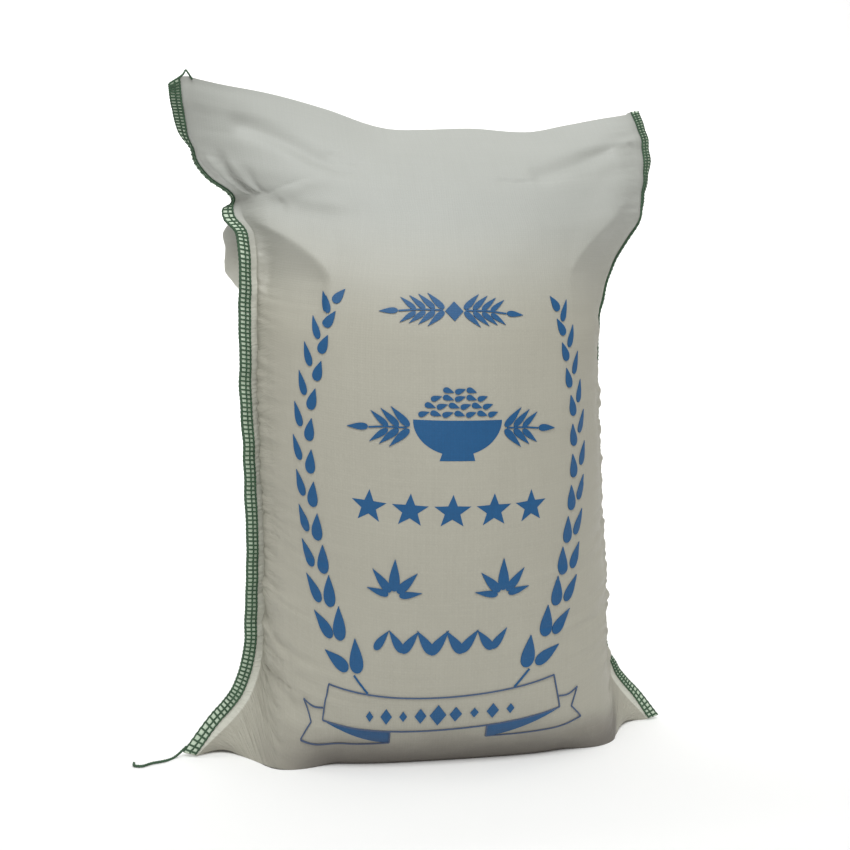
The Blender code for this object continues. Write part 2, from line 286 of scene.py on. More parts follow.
# Dirt and painted shade: the foot is painted darker towards the floor, partly standing in for the
# shadow under it
SOIL_AND_SHADE_TINT, SOIL_AND_SHADE_SHARE = linear(62, 52, 51), 0.7
SOIL_AND_SHADE_HEIGHTS = (0.046, 0.004)    # heights over the floor between which the darkening grows, partly dirt and partly painted shade
SOIL_AND_SHADE_WANDER = 0.016        # how much its edge goes up and down
FRONT_FOOT = (0.050, 0.085)  # heights on the flat cloth over which the front leaves the floor
SPARED_CORNER = (-0.215, -0.110)  # distances across over which the foot's darkening grows to full, coming in from the left corner
SPARED_SHARE = 0.7
HALF_ROUND = 0.256         # from the middle of a side to the edge of the flat tube
WRINKLED = (0.100, 0.030)  # distance from an edge between which the finest wrinkles grow
WRINKLES_FADE = (0.78, 0.30)  # heights on the flat cloth between which they grow
WRINKLE_CELLS = (26.0, 120.0)  # in a metre, along a wrinkle and across it
WRINKLE_SLOPE = 0.32
# Distance and strength
BROAD_BUMP, WRINKLE_BUMP, WEAVE_BUMP = (0.0006, 0.5), (0.0055, 0.7), (0.00012, 0.6)


def woven(name, light, dark, roughness, empty=None):
    """Woven tape between two tones; empty holds the two of the part with no rice behind it."""
    finish = Finish(name, roughness)
    across, up = finish.flat_cloth()
    wave_across, wave_up = [
        finish.node("ShaderNodeMath", {"operation": "SINE"}, {0: place * (math.pi / TAPE)})
        for place in (across, up)]
    crown_across, crown_up = abs(wave_across), abs(wave_up)
    upright_on_top = (wave_across * wave_up) > 0.0
    upright = crown_across ** TAPE_ROUND * (crown_up * TAPE_DIP + (1 - TAPE_DIP))
    level = crown_up ** TAPE_ROUND * (crown_across * TAPE_DIP + (1 - TAPE_DIP))
    weave = upright * upright_on_top + level * (1.0 - upright_on_top)

    long_ways = finish.noise(finish.vector(across * (1 / TAPE), up * (TAPE_EVEN / TAPE)), 1.0)
    cross_ways = finish.noise(finish.vector(across * (TAPE_EVEN / TAPE), up * (1 / TAPE)), 1.0)
    tapes = long_ways * upright_on_top + cross_ways * (1.0 - upright_on_top)
    patches = finish.noise(finish.vector(across, up), 14.0, 4.0)
    # The weave's share is painted shade: darker where a tape dips down from its crown
    shade = tapes * TONES[0] + patches * TONES[1] + (1.0 - weave) * TONES[2]
    tint = finish.blend(shade, light, dark)
    if empty:
        tint = finish.blend(finish.ramp(up, *EMPTY), tint, finish.blend(shade, *empty))
        # Painted highlight: a pale lip beside the seams of the filled part
        lip_highlight_mask = finish.ramp(abs(across), *LIP) * (1.0 - finish.ramp(up, *LIP_ENDS))
        tint = finish.blend(lip_highlight_mask * LIP_HIGHLIGHT_SHARE, tint, LIP_HIGHLIGHT)
    # The foot is painted darker towards the floor, partly as dirt and partly as painted shade
    edge_wander_noise = finish.noise(finish.vector(across, up * 2.0), 22.0, 3.0)
    place = finish.node("ShaderNodeTexCoord", {}, {}, 3)
    above_floor = finish.node("ShaderNodeSeparateXYZ", {}, {0: place}, 2)
    soil_and_shade_mask = finish.ramp(above_floor + edge_wander_noise * SOIL_AND_SHADE_WANDER - SOIL_AND_SHADE_WANDER / 2, *SOIL_AND_SHADE_HEIGHTS)
    soil_and_shade_mask = soil_and_shade_mask * finish.ramp(up, *FRONT_FOOT)
    soil_and_shade_mask = soil_and_shade_mask * (finish.ramp(across, *SPARED_CORNER) * SPARED_SHARE + (1 - SPARED_SHARE))
    finish.colour(finish.blend(soil_and_shade_mask * SOIL_AND_SHADE_SHARE, tint, SOIL_AND_SHADE_TINT))

    on_grains = finish.vector(across * (GRAIN_SLIM / GRAIN), up * (1 / GRAIN))
    grains = finish.node(
        "ShaderNodeTexVoronoi", {"feature": "SMOOTH_F1"}, {"Vector": on_grains, "Scale": 1.0})
    pressed = (1.0 - grains) * finish.ramp(up, FILLED[0], FILLED[0] + FILLED_FADE)
    pressed = pressed * finish.ramp(up, FILLED[1], FILLED[1] - FILLED_FADE)
    broad = finish.bump(pressed + patches, *BROAD_BUMP)
    to_and_fro = {0: across, 1: HALF_ROUND}
    from_middle = finish.node("ShaderNodeMath", {"operation": "PINGPONG"}, to_and_fro)
    inward = HALF_ROUND - from_middle
    climbing = (up - inward * WRINKLE_SLOPE) * WRINKLE_CELLS[1]
    crumple = finish.noise(finish.vector(inward * WRINKLE_CELLS[0], climbing), 1.0, 3.0)
    wrinkles = abs(crumple - 0.5) * finish.ramp(inward, *WRINKLED) * finish.ramp(up, *WRINKLES_FADE)
    wrinkled = finish.bump(wrinkles, *WRINKLE_BUMP, broad)
    finish.normal(finish.bump(weave, *WEAVE_BUMP, wrinkled))
    print(name, "has", len(finish.tree.nodes), "nodes")
    return finish.material


OVER_RICE = linear(174, 172, 159), linear(155, 152, 140)
OVER_NOTHING = linear(172, 174, 169), linear(157, 159, 153)
CLOTH = woven("woven_cloth", *OVER_RICE, 0.55, OVER_NOTHING)
INK = woven("blue_ink", linear(6, 86, 136), linear(2, 66, 112), 0.5)
THIN_INK = woven("thin_blue_ink", linear(70, 92, 124), linear(50, 70, 104), 0.5)

# %% [markdown]
# ## The lines of the cloth
# These are the solid's own lines, as stations of the height on the flat cloth (0 at the bottom
# fold, 1 at the hem) and a point in space. Both panels hang between the seams, and a fin of loose
# cloth stands out past each seam. The same numbers as in the solid keep the dressed sack in its
# place.

# %% Sizes and stations of the solid
ACROSS = 0.238             # from the middle of a panel to its seam on the flat cloth
UP = 0.80                  # from the bottom fold to the hem on the flat cloth
FIN_WIDTH = 0.018          # from a seam to its fin's edge
EAR_FIN_WIDTH = 0.0115     # the same at the ear, which is what each lower corner is called here
EAR_TOP = 0.05             # height on the flat cloth, as a share, up to which there is an ear
HALF_CLOTH = 0.001         # half of a fin's thickness
BAND_WIDTH = 0.010         # of an overlock
CHAIN_RADIUS = 0.0012      # of the loose thread
GAP = 0.0003               # between the solid's pieces
# Stations: the height on the flat cloth, as a share, and then x, y and z
FRONT_MIDDLE = [
    (0.000, 0.000, 0.000, -0.004), (0.110, 0.000, -0.086, -0.002), (0.155, 0.000, -0.109, 0.025),
    (0.210, 0.001, -0.121, 0.066), (0.310, 0.003, -0.124, 0.146), (0.450, 0.005, -0.120, 0.258),
    (0.580, 0.007, -0.110, 0.362), (0.665, 0.008, -0.098, 0.430), (0.700, 0.008, -0.090, 0.457),
    (0.780, 0.008, -0.062, 0.514), (0.880, 0.008, -0.028, 0.578), (1.000, 0.004, 0.030, 0.645)]
BACK_MIDDLE = [
    (0.000, 0.000, 0.000, -0.004), (0.105, 0.000, 0.078, -0.002), (0.150, 0.000, 0.098, 0.024),
    (0.200, 0.001, 0.107, 0.062), (0.310, 0.003, 0.112, 0.150), (0.450, 0.005, 0.109, 0.262),
    (0.580, 0.007, 0.101, 0.366), (0.680, 0.008, 0.086, 0.445), (0.780, 0.009, 0.042, 0.522),
    (0.850, 0.008, -0.006, 0.563), (0.880, 0.008, -0.018, 0.579), (0.920, 0.008, -0.006, 0.600),
    (1.000, 0.004, 0.034, 0.645)]
LEFT_SEAM = [
    (0.000, -0.2385, -0.042, 0.001), (0.085, -0.1895, -0.031, 0.051),
    (0.180, -0.1740, -0.021, 0.118), (0.310, -0.1740, -0.020, 0.207),
    (0.500, -0.1800, -0.020, 0.343), (0.700, -0.1820, -0.020, 0.487),
    (0.735, -0.1840, -0.016, 0.512), (0.765, -0.1950, -0.006, 0.533),
    (0.797, -0.1990, -0.003, 0.554), (0.832, -0.2263, -0.009, 0.574),
    (0.851, -0.2366, -0.014, 0.585), (0.875, -0.2410, -0.019, 0.598),
    (0.920, -0.2430, -0.030, 0.621), (1.000, -0.2465, -0.045, 0.657)]
RIGHT_SEAM = [
    (0.000, 0.240, -0.002, 0.001), (0.080, 0.204, 0.003, 0.043), (0.170, 0.192, 0.012, 0.096),
    (0.290, 0.193, 0.018, 0.173), (0.430, 0.190, 0.020, 0.280), (0.560, 0.186, 0.020, 0.372),
    (0.660, 0.190, 0.020, 0.447), (0.720, 0.202, 0.016, 0.495), (0.800, 0.235, 0.009, 0.560),
    (0.840, 0.235, 0.006, 0.585), (0.930, 0.230, 0.006, 0.632), (1.000, 0.219, 0.010, 0.665)]
# The same height, and in degrees half the arc across a panel, or a fin's turn from straight out
ROUNDNESS = [
    (0.00, 70), (0.10, 78), (0.30, 85), (0.60, 84), (0.70, 76), (0.80, 45), (0.88, 15), (1.00, 12)]
LEFT_FIN_TURN = [
    (0.00, 10), (0.15, -15), (0.30, -30), (0.70, -30), (0.76, -12), (0.78, 15), (0.80, 60),
    (0.83, 75), (0.865, 75), (0.90, 35), (0.94, 15), (1.00, 0)]
RIGHT_FIN_TURN = [(0.00, 10), (0.10, 40), (0.20, 60), (0.80, 60), (0.90, 25), (1.00, 20)]
FOOT_TOP, FOOT_BLEND = 0.10, 0.36      # heights over which the square foot becomes the round body
SQUARE_CORNER, FLAT_SOLE = 3.2, 4.2    # powers for square corners and a flat sole
# Darts: side; inner end across and up; rise and bend of the ridge; rise of the facet's foot;
# steepness; shares of the way to the seam where the dart begins to fade and where it has faded
DARTS = [
    (-1, 0.50, 0.689, 0.0725, 0.50, 0.008, 0.50, 0.66),
    (1, 0.54, 0.714, 0.1250, 0.80, 0.005, 0.27, 0.50)]
DART_LIP, DART_SWELL, DART_BROW = 0.080, 0.35, 0.080
DART_DROP = 0.15           # how far the cloth goes down for each metre that it goes in
POUCH_SIDEWAYS, POUCH_BACKWARDS = 0.052, 0.024
POUCH_LEVEL, POUCH_HEIGHT, POUCH_SQUARE = 0.730, 0.062, 4
POUCH_INNER, POUCH_FULL = 0.35, 0.80   # shares of the way to the seam
HEELS = [(-1, 0.032), (1, 0.021)]      # side, size
HEEL_INNER, HEEL_FULL = 0.42, 0.80     # shares of the way to the seam
HEEL_LEVEL, HEEL_TOP = 0.10, 0.20      # heights where a heel is fullest and where it ends
STEEPEST = 2.5             # slope of a line at a station, as a share of the flatter line beside it


# %% Curves through stations
def smooth(low, high, value):
    """0 below low, 1 above high, an even ramp between."""
    share = np.clip((value - low) / (high - low), 0, 1)
    return share * share * (3 - 2 * share)


def mix(first, second, share):
    return first * (1 - share) + second * share


def slopes_through(knots, points, swing):
    """Slopes at the stations; without swing the curve never goes past its stations."""
    steps = np.diff(knots)[:, None]
    chords = np.diff(points, axis=0) / steps
    slopes = np.concatenate([chords[:1], chords])
    before, after = chords[:-1], chords[1:]
    middle = (before * steps[1:] + after * steps[:-1]) / (steps[1:] + steps[:-1])
    limit = STEEPEST * np.minimum(np.abs(before), np.abs(after))
    held = np.where(before * after > 0, np.clip(middle, -limit, limit), 0)
    slopes[1:-1] = middle if swing else held
    return slopes


def track(stations, at, swing=False):
    """A smooth curve through stations, read at one value or at an array of them."""
    table = np.array(stations, dtype=float)
    knots, points = table[:, 0], table[:, 1:]
    steps = np.diff(knots)
    slopes = slopes_through(knots, points, swing)
    at = np.clip(at, knots[0], knots[-1])
    index = np.clip(np.searchsorted(knots, at, side="right") - 1, 0, len(knots) - 2)
    step = steps[index][..., None]
    share = (at - knots[index])[..., None] / step
    rise = smooth(0, 1, share)
    leave = share * (1 - share) ** 2 * step * slopes[index]
    arrive = share ** 2 * (1 - share) * step * slopes[index + 1]
    return mix(points[index], points[index + 1], rise) + leave - arrive


def unit(vectors):
    return vectors / np.linalg.norm(vectors, axis=-1, keepdims=True)


# %% [markdown]
# ## Small folds
# A filled sack is never smooth. Its seams are shorter than the cloth beside them, so small puckers
# run in from them, stronger at the lower corners. The closed mouth pulls long soft folds towards
# the neck. Puckers come from stretched random hills, and each larger fold is a ridge or a valley
# along a short line, given on the flat cloth in millimetres. A cloth simulation would give
# such folds too, but not these folds in these places, and every number here can be changed on its
# own.

# %% Random hills
LATTICE, LATTICE_SHIFT = 256, 100


def hills(x, y, long, wide, seed):
    """Smooth random hills and hollows from -1 to 1, on a lattice of long by wide."""
    table = np.random.default_rng(seed).uniform(-1, 1, (LATTICE, LATTICE))
    place_x, place_y = x / long + LATTICE_SHIFT, y / wide + LATTICE_SHIFT
    column, row = np.floor(place_x).astype(int), np.floor(place_y).astype(int)
    share_x, share_y = smooth(0, 1, place_x - column), smooth(0, 1, place_y - row)

    def level(step):
        pick_row = (row + step) % LATTICE
        low = table[column % LATTICE, pick_row]
        return mix(low, table[(column + 1) % LATTICE, pick_row], share_x)

    return mix(level(0), level(1), share_y)


# %% Ripple of the seams
QUICK_RIPPLE, SLOW_RIPPLE = (0.0009, 0.017), (0.0012, 0.060)  # height, length


def ripple(v, side):
    """How far a seam waves out of its line, along the fin's normal."""
    wave = hills(v * UP, 0 * v, QUICK_RIPPLE[1], 1.0, 11 if side < 0 else 12)
    slow = hills(v * UP, 0 * v, SLOW_RIPPLE[1], 1.0, 13 if side < 0 else 14)
    height = QUICK_RIPPLE[0] * wave + SLOW_RIPPLE[0] * slow
    return height * smooth(0.03, 0.10, v) * (1 - smooth(0.97, 1, v))


def bare_seam(v, side):
    """The solid's sewn line: left for side -1, right for side 1."""
    return track(LEFT_SEAM if side < 0 else RIGHT_SEAM, v)


def fin_frame(v, side):
    """Up the seam, out along the fin, and the fin's normal on the front face."""
    near = 0.001
    up = unit(bare_seam(np.minimum(v + near, 1), side) - bare_seam(np.maximum(v - near, 0), side))
    turn = np.radians(track(LEFT_FIN_TURN if side < 0 else RIGHT_FIN_TURN, v)[..., 0])
    out = np.stack([side * np.cos(turn), np.sin(turn), np.zeros_like(turn)], axis=-1)
    out = unit(out - up * (out * up).sum(axis=-1, keepdims=True))
    return up, out, side * np.cross(out, up)


def seam(v, side):
    """The sewn line, with its ripple."""
    return bare_seam(v, side) + ripple(v, side)[..., None] * fin_frame(v, side)[2]


# %% Panels
# How the hem waves: share of the way to a seam, and height
HEM_WAVE = [
    (-1.0, 0.0020), (-0.97, 0.0025), (-0.90, 0.0040), (-0.70, 0.0085), (-0.45, 0.0050),
    (-0.19, -0.0060), (0.0, -0.0030), (0.20, -0.0010), (0.52, -0.0070), (0.72, -0.0035),
    (0.88, -0.0015), (1.0, -0.0020)]


def dart(u, v, side, tip_u, tip_v, rise, bend, drop, steepness, fade):
    """How far a dart at the neck goes in: a sharp ridge, a facet under it, then a soft lip."""
    out = np.clip((side * u - tip_u) / (1 - tip_u), 0, 1)
    ridge = tip_v + rise * out ** bend
    bottom = tip_v + drop * out
    height = ridge - bottom + 1e-6
    facet = np.sin(np.clip((ridge - v) / height, 0, 1) * math.pi / 2)
    lip = 1 - smooth(0, 1, (bottom - v) / DART_LIP)
    brow = DART_SWELL * (1 - smooth(0, 1, (v - ridge) / DART_BROW))
    return steepness * UP * height * (facet - brow) * lip * (1 - smooth(fade, 1, out))


def pouch(u, v):
    """Share of its size that the bulge in the back's left shoulder has here."""
    level = np.exp(-((v - POUCH_LEVEL) / POUCH_HEIGHT) ** POUCH_SQUARE)
    return level * smooth(POUCH_INNER, POUCH_FULL, -u) * (1 - smooth(POUCH_FULL, 1, -u))


def heel(u, v, side):
    """Share of its size that the swelling of a lower corner of the front has here."""
    across = smooth(HEEL_INNER, HEEL_FULL, side * u) * (1 - smooth(HEEL_FULL, 1, side * u))
    return across * smooth(0, HEEL_LEVEL, v) * (1 - smooth(HEEL_LEVEL, HEEL_TOP, v))


def panel(u, v, middle):
    """Points of a panel that hangs between both seams, with its middle on the given line."""
    out = np.abs(u)
    edge = np.where((u < 0)[..., None], seam(v, -1), seam(v, 1))
    arc = np.radians(track(ROUNDNESS, v)[..., 0])
    across = np.sin(out * arc) / np.sin(arc)
    bulge = (np.cos(out * arc) - np.cos(arc)) / (1 - np.cos(arc))
    foot = 1 - smooth(FOOT_TOP, FOOT_BLEND, v)
    depth = mix(bulge, 1 - out ** SQUARE_CORNER, foot)
    level = mix(bulge, 1 - out ** FLAT_SOLE, foot)
    points = mix(edge, track(middle, v), np.stack([1 - across, depth, level], axis=-1))
    points[..., 2] += track(HEM_WAVE, u, swing=True)[..., 0] * smooth(0.90, 1, v)
    return points


def bare_face(u, v, face):
    """The front (1) or the back (-1) without its small folds."""
    if face > 0:
        points = panel(u, v, FRONT_MIDDLE)
        for shape in DARTS:
            dip = dart(u, v, *shape)
            points[..., 1] += dip
            points[..., 2] -= DART_DROP * dip
        for side, size in HEELS:
            points[..., 1:] -= (size * heel(u, v, side))[..., None]
    else:
        points = panel(u, v, BACK_MIDDLE)
        share = pouch(u, v)
        points[..., 0] -= POUCH_SIDEWAYS * share
        points[..., 1] += POUCH_BACKWARDS * share
    near_seam = (np.abs(u) ** 4)[..., None]
    normal = np.where((u < 0)[..., None], fin_frame(v, -1)[2], fin_frame(v, 1)[2])
    return points + face * HALF_CLOTH * mix(np.array([0.0, -1.0, 0.0]), normal, near_seam)


# %% Folds listed one by one
# Stops on the flat cloth (mm from the middle, mm from the bottom), width and height in mm. A height
# below nought is a valley. Sharp folds fall off straight from their line, soft ones are rounded. The
# ones that lie on the sole come out weak, because the cloth is held smooth there.
FRONT_FOLDS = [
    # the pinch in the left neck, and what runs out from it
    ([(-217, 640), (-224, 668), (-230, 700)], 4.5, 3.4, "soft"),
    ([(-211, 644), (-214, 676), (-216, 708)], 4.5, -3.4, "soft"),
    ([(-200, 648), (-203, 672), (-207, 700)], 4.0, 1.8, "soft"),
    ([(-194, 650), (-192, 668), (-190, 690)], 4.0, -1.8, "soft"),
    ([(-233, 640), (-187, 652), (-152, 671), (-103, 699)], 1.6, -0.9, "sharp"),
    ([(-233, 634), (-184, 645), (-150, 663), (-108, 692)], 7.0, 1.2, "soft"),
    # soft folds that hang in the flat mouth
    ([(-208, 744), (-184, 744), (-152, 733), (-121, 714), (-96, 701), (-50, 693)],
     13.0, -3.8, "soft"),
    ([(-112, 727), (-92, 716), (-68, 709)], 5.0, -1.0, "soft"),
    ([(94, 699), (167, 725), (236, 757)], 13.0, -3.8, "soft"),
    ([(228, 748), (236, 722), (237, 686)], 3.0, -1.8, "sharp"),
    ([(205, 742), (214, 720), (218, 698)], 6.0, 1.2, "soft"),
    # the crease where the flat mouth bends back
    ([(-110, 701), (-98, 699), (-70, 700)], 2.0, -1.2, "sharp"),
    ([(-60, 703), (10, 700), (70, 697), (150, 697), (200, 702)], 2.5, -0.8, "sharp"),
    ([(60, 700), (84, 696), (110, 699)], 2.0, -1.2, "sharp"),
    ([(-150, 712), (-60, 716), (60, 713), (150, 718)], 14.0, -1.0, "soft"),
    # long folds at the lower left
    ([(-236, 116), (-208, 138), (-182, 150), (-140, 155)], 3.0, -2.8, "sharp"),
    ([(-234, 124), (-205, 146), (-180, 158), (-142, 163)], 5.0, 2.2, "soft"),
    ([(-237, 88), (-224, 104), (-206, 122), (-170, 136)], 3.2, -2.2, "sharp"),
    ([(-237, 74), (-219, 92), (-190, 112), (-168, 119)], 3.6, -2.6, "sharp"),
    ([(-237, 48), (-221, 60), (-205, 82), (-182, 96)], 3.6, -2.4, "sharp"),
    ([(-234, 28), (-219, 36), (-205, 50), (-190, 66)], 3.6, -2.2, "sharp"),
    ([(-236, 142), (-212, 160), (-182, 171)], 3.6, -1.8, "sharp"),
    ([(-236, 168), (-214, 182), (-188, 194)], 3.6, -1.6, "sharp"),
    ([(-236, 200), (-212, 210), (-184, 219)], 3.8, -1.3, "sharp"),
    # what comes out again under the pinch
    ([(-182, 638), (-150, 644), (-118, 647), (-84, 653)], 12.0, 1.8, "soft"),
    # shorter ones at the lower right
    ([(237, 96), (214, 116), (186, 128)], 3.4, -1.7, "sharp"),
    ([(237, 122), (214, 143), (180, 156)], 3.6, -1.6, "sharp"),
    ([(237, 152), (214, 172), (184, 186)], 3.6, -1.5, "sharp"),
    ([(237, 184), (210, 200), (176, 212)], 4.0, -1.3, "sharp"),
]
BACK_FOLDS = [
    ([(-228, 690), (-190, 676), (-150, 672), (-90, 690)], 8.0, -3.0, "soft"),
    ([(-222, 720), (-150, 716), (-90, 705), (-20, 700)], 12.0, -3.0, "soft"),
    ([(224, 716), (160, 712), (90, 700), (30, 698)], 12.0, -3.0, "soft"),
    ([(228, 650), (190, 640), (150, 622), (118, 590)], 8.0, 3.0, "soft"),
    ([(230, 616), (190, 604), (150, 590)], 9.0, -3.0, "soft"),
    ([(-228, 560), (-180, 552), (-120, 560)], 8.0, -2.0, "soft"),
    ([(-236, 96), (-200, 128), (-150, 140)], 4.0, -1.8, "sharp"),
    ([(-236, 150), (-205, 172), (-165, 180)], 4.0, -1.5, "sharp"),
    ([(236, 92), (200, 126), (150, 142)], 4.0, -1.8, "sharp"),
    ([(236, 146), (204, 170), (162, 182)], 4.0, -1.5, "sharp"),
    ([(-70, 640), (-20, 632), (60, 640), (110, 652)], 14.0, -2.0, "soft"),
]


FOLD_POINTS = 25
FOLD_RISE, FOLD_FADE = 0.12, 0.62  # shares of its length where a fold has grown, and where it fades


def fold(x, y, stops, width, height, kind):
    """Height of one fold over the flat cloth, all in millimetres."""
    stations = [(share, *stop) for share, stop in zip(np.linspace(0, 1, len(stops)), stops)]
    line = track(stations, np.linspace(0, 1, FOLD_POINTS), swing=True)
    nearest = np.full(x.shape, 1e9)
    share = np.zeros(x.shape)
    for number in range(len(line) - 1):
        start, run = line[number], line[number + 1] - line[number]
        along = np.clip(((x - start[0]) * run[0] + (y - start[1]) * run[1]) / (run @ run), 0, 1)
        away = np.hypot(x - start[0] - along * run[0], y - start[1] - along * run[1])
        closer = away < nearest
        nearest = np.where(closer, away, nearest)
        share = np.where(closer, (number + along) / (len(line) - 1), share)
    fade = smooth(0, FOLD_RISE, share) * (1 - smooth(FOLD_FADE, 1, share))
    power = 1.0 if kind == "sharp" else 2.0
    return height * np.exp(-(nearest / width) ** power) * fade


# %% Puckers, and the whole relief
# Height on the flat cloth, as a share, and then the puckers' height, reach and climb in millimetres
PUCKER_HEIGHT = [
    (0.00, 0.3), (0.05, 2.8), (0.10, 3.8), (0.22, 3.4), (0.38, 2.3), (0.60, 1.6), (0.68, 1.1),
    (0.80, 0.7), (0.88, 0.4), (1.00, 0.2)]
PUCKER_REACH = [(0.00, 44), (0.15, 58), (0.35, 44), (0.60, 34), (1.00, 14)]
PUCKER_CLIMB = [
    (0.00, 0), (0.06, 6), (0.10, 26), (0.145, 42), (0.24, 30), (0.40, 16), (0.60, 8), (1.00, 4)]
CLIMB_WITHIN = 38          # mm from the seam over which they climb
REACH_LEFT, REACH_RIGHT = 1.2, 1.6
LARGE_PUCKER, SMALL_PUCKER = (80, 12), (46, 6.5)  # length and width in mm
LARGE_SHARE, SMALL_SHARE, PUCKER_BASE = 1.6, 1.3, 1.0
OTHER_SIDE = 400           # how far along the random hills the right seam's puckers are taken from
SWELL = 2.5                # mm that the filled cloth swells out beside its seam
SWELL_RISE, SWELL_FALL = (3, 16), (16, 42)        # mm from the seam
SWELL_FOOT, SWELL_TOP = (0.10, 0.20), (0.54, 0.68)
BROAD_HILLS = [(0.9, 60, 90, 41), (0.35, 26, 34, 42)]  # height, length and width in mm, seed
STANDING = (0.10, 0.16)    # heights over which the cloth leaves the sole, where it is held smooth
MOUTH = (0.82, 0.87)       # heights above which both layers lie together
HELD_FROM, HELD = 0.96, 0.5  # share of the way to a seam, and of the folds that are left there


def puckers(x, y, seed):
    """Small folds that run in from both seams, in mm; they climb as they leave the seam."""
    inward = ACROSS * 1000 - np.abs(x)
    v = y / (UP * 1000)
    lane = y - track(PUCKER_CLIMB, v)[..., 0] * (1 - np.exp(-inward / CLIMB_WITHIN))
    side = np.where(x < 0, 0, OTHER_SIDE)
    large = np.abs(hills(inward + side, lane, *LARGE_PUCKER, seed))
    small = np.abs(hills(inward + side, lane, *SMALL_PUCKER, seed + 1))
    height = track(PUCKER_HEIGHT, v)[..., 0]
    reach = track(PUCKER_REACH, v)[..., 0] * (1 + 0.5 * hills(side, y, 100, 25, seed + 2))
    reach = reach * np.where(x < 0, REACH_LEFT, REACH_RIGHT)
    size = height * np.exp(-(inward / reach) ** 1.4) * mix(0.4, 1, smooth(0, 10, inward))
    swell = SWELL * smooth(*SWELL_RISE, inward) * (1 - smooth(*SWELL_FALL, inward))
    swell = swell * smooth(*SWELL_FOOT, v) * (1 - smooth(*SWELL_TOP, v))
    return size * (LARGE_SHARE * large + SMALL_SHARE * small - PUCKER_BASE) + swell


def one_side(u, v, face):
    """Small folds of one panel, in millimetres."""
    x, y = u * ACROSS * 1000, v * UP * 1000
    height = puckers(x, y, 21 if face > 0 else 31)
    for stops, width, rise, kind in FRONT_FOLDS if face > 0 else BACK_FOLDS:
        height = height + fold(x, y, stops, width, rise, kind)
    broad = sum(rise * hills(x, y, long, wide, seed) for rise, long, wide, seed in BROAD_HILLS)
    return height + broad * (1 - smooth(0.7, 1, np.abs(u)))


def relief(u, v, face):
    """How far small folds move the cloth out, in metres. Both layers of the mouth move as one."""
    height = one_side(u, v, face)
    if face < 0:
        height = mix(height, -one_side(u, v, 1), smooth(*MOUTH, v))
    hold = mix(1, HELD, smooth(HELD_FROM, 1, np.abs(u)))
    return 0.001 * height * smooth(*STANDING, v) * hold


def cloth(u, v, face):
    """Points on the sculpted cloth, and its normals before the small folds."""
    near = 0.0015
    right, left = np.minimum(u + near, 1), np.maximum(u - near, -1)
    above, below = np.minimum(v + near, 1), np.maximum(v - near, 0)
    across = bare_face(right, v, face) - bare_face(left, v, face)
    along = bare_face(u, above, face) - bare_face(u, below, face)
    normals = face * unit(np.cross(across, along))
    points = bare_face(u, v, face) + relief(u, v, face)[..., None] * normals
    points[..., 2] = np.maximum(points[..., 2], 0)
    return points, normals


# %% Fins
EAR_END = 0.010            # how much further than its seam an ear's edge reaches down
HEM_CORNER = 0.004         # how far the left upper corner goes up at its seam, and down at its edge
HEM_PULL = 0.97            # height from which it is pulled
FIN_LEAN, FIN_WAVE = 0.0012, 0.021  # how far a fin's edge waves, and over what length


def fin_reach(v):
    """From the sewn line to the fin's edge."""
    return mix(EAR_FIN_WIDTH, FIN_WIDTH, smooth(0, EAR_TOP, v))


def fin_point(v, side, inset, height):
    """A point of the fin, a distance in from its waving edge and raised off its middle."""
    up, out, normal = fin_frame(v, side)
    reach = fin_reach(v) - inset
    share = np.clip(reach / FIN_WIDTH, 0, 1.1)
    wave = hills(v * UP, 0 * v, FIN_WAVE, 1.0, 15 if side < 0 else 16) * smooth(0.04, 0.12, v)
    lean = FIN_LEAN * wave * share ** 2
    slide = -EAR_END * share * (1 - smooth(0, EAR_TOP, v))
    if side < 0:
        slide = slide + mix(HEM_CORNER, -HEM_CORNER, share) * smooth(HEM_PULL, 1, v)
    point = seam(v, side) + reach[..., None] * out
    point = point + (lean + height)[..., None] * normal + slide[..., None] * up
    point[..., 2] = np.maximum(point[..., 2], 0)
    return point


# %% [markdown]
# ## The sack's cloth
# The whole tube is one skin. A primitive grid is added, and its columns are carried round the sack:
# over the front, out and back along the right fin, over the back, and along the left fin. Its first
# row closes on the bottom fold. At the hem the grid turns inwards between the two lips and closes a
# little way down, so that the mouth is a real slit. The grid's UV map is the cloth laid flat, in
# metres, for the weave.


# %% A grid that is carried to its points
WELD = 0.00002             # vertices closer than this are made one


def shaped_grid(name, points, flat):
    """A primitive grid with its vertices moved to points (rows, columns, 3); its UV map is in m."""
    rows, columns = points.shape[:2]
    bpy.ops.object.select_all(action="DESELECT")
    bpy.ops.mesh.primitive_grid_add(
        x_subdivisions=columns - 1, y_subdivisions=rows - 1, size=1, calc_uvs=True)
    piece = bpy.context.object
    piece.name = piece.data.name = name
    assert len(piece.data.vertices) == rows * columns
    piece.data.vertices.foreach_set("co", points.reshape(-1))
    corners = np.empty(len(piece.data.loops), dtype=int)
    piece.data.loops.foreach_get("vertex_index", corners)
    piece.data.uv_layers[0].name = "flat_cloth"
    piece.data.uv_layers[0].data.foreach_set("uv", flat.reshape(-1, 2)[corners].reshape(-1))
    piece.data.update()
    return piece


def weld(piece, angle=60):
    """Meeting edges are merged, open ends are closed, and faces are turned outwards."""
    edit(piece)
    bpy.ops.mesh.remove_doubles(threshold=WELD)
    bpy.ops.mesh.select_all(action="SELECT")
    bpy.ops.mesh.fill_holes(sides=0)
    bpy.ops.mesh.select_all(action="SELECT")
    bpy.ops.mesh.normals_make_consistent(inside=False)
    done()
    bpy.ops.object.shade_smooth_by_angle(angle=math.radians(angle))
    return piece


